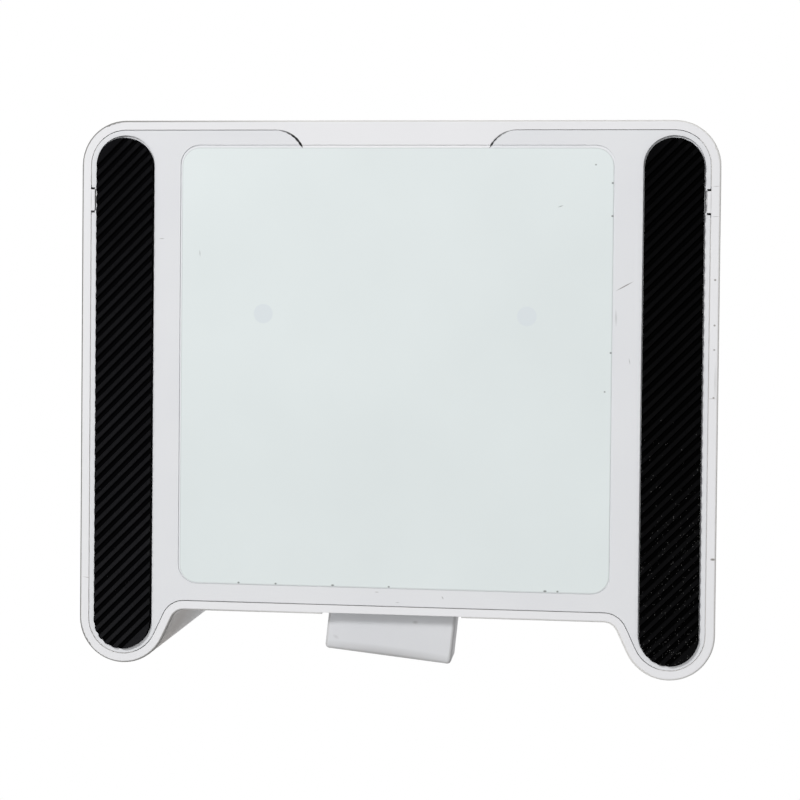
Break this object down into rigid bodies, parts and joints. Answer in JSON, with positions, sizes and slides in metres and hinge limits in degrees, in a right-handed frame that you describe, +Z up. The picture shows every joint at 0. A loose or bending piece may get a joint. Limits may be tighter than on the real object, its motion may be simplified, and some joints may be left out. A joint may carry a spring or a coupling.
{
  "type": "robot vacuum charging dock",
  "caption": "Free-standing charging dock for a robot vacuum: white box housing with two wings, ribbed rubber foot strips, smoked front window and a floating sprung contact nose.",
  "frame": {"origin": "on the floor, under the middle of the dock's outline", "axes": "+Z up, -Y to the front where the robot drives in, +X to the robot's left as it faces the dock"},
  "size_m": [0.15, 0.129, 0.092],
  "materials": {
    "white_abs": "moulded, satin",
    "plate_abs": "moulded, fine texture",
    "nose_abs": "moulded, satin",
    "strip_rubber": "moulded ribs, matte",
    "film": "bare satin film",
    "steel": "zinc plated",
    "contact_metal": "nickel plated",
    "acetal": "moulded",
    "smoked_window": "polished, smoked",
    "black_plastic": "moulded",
    "board": "solder mask",
    "header_nylon": "moulded",
    "nut_metal": "nickel plated",
    "ballast_steel": "zinc plated",
    "led_epoxy": "tinted epoxy",
    "wire_red": "insulation",
    "wire_black": "insulation"
  },
  "bodies": {
    "dock": {"housing": "white_abs", "base_plate": "plate_abs", "foot_strip_left": "strip_rubber", "foot_strip_right": "strip_rubber", "bottom_film": "film", "base_screws": "steel", "nose_guide": "acetal", "guide_screws": "steel", "nose_spring": "steel", "ir_window": "smoked_window", "ir_shroud": "black_plastic", "main_board": "board", "board_screws": "steel", "power_header": "header_nylon", "contact_header": "header_nylon", "dc_jack": "black_plastic", "jack_nut": "nut_metal", "ballast_plate": "ballast_steel", "ballast_screws": "steel", "ir_led_left": "led_epoxy", "ir_led_centre": "led_epoxy", "ir_led_right": "led_epoxy", "jack_lead_red": "wire_red", "jack_lead_black": "wire_black", "contact_lead_red": "wire_red", "contact_lead_black": "wire_black"},
    "slider": {"nose_slider": "acetal"},
    "nose": {"contact_nose": "nose_abs", "pivot_pin": "steel", "contact_strip_left": "contact_metal", "contact_strip_right": "contact_metal"}
  },
  "joints": [
    {"name": "nose_slide", "type": "slide", "parent": "dock", "child": "slider", "axis": [0, 1, 0], "range_m": [0, 0.007], "stiffness_N_per_m": 250, "springref_m": -0.006, "deforming": ["nose_spring", "contact_lead_red", "contact_lead_black"]},
    {"name": "nose_yaw", "type": "hinge", "parent": "slider", "child": "nose", "pos_m": [0, -0.0465, 0.01305], "axis": [0, 0, 1], "range_deg": [-11.6, 0], "deforming": ["contact_lead_red", "contact_lead_black"]}
  ]
}
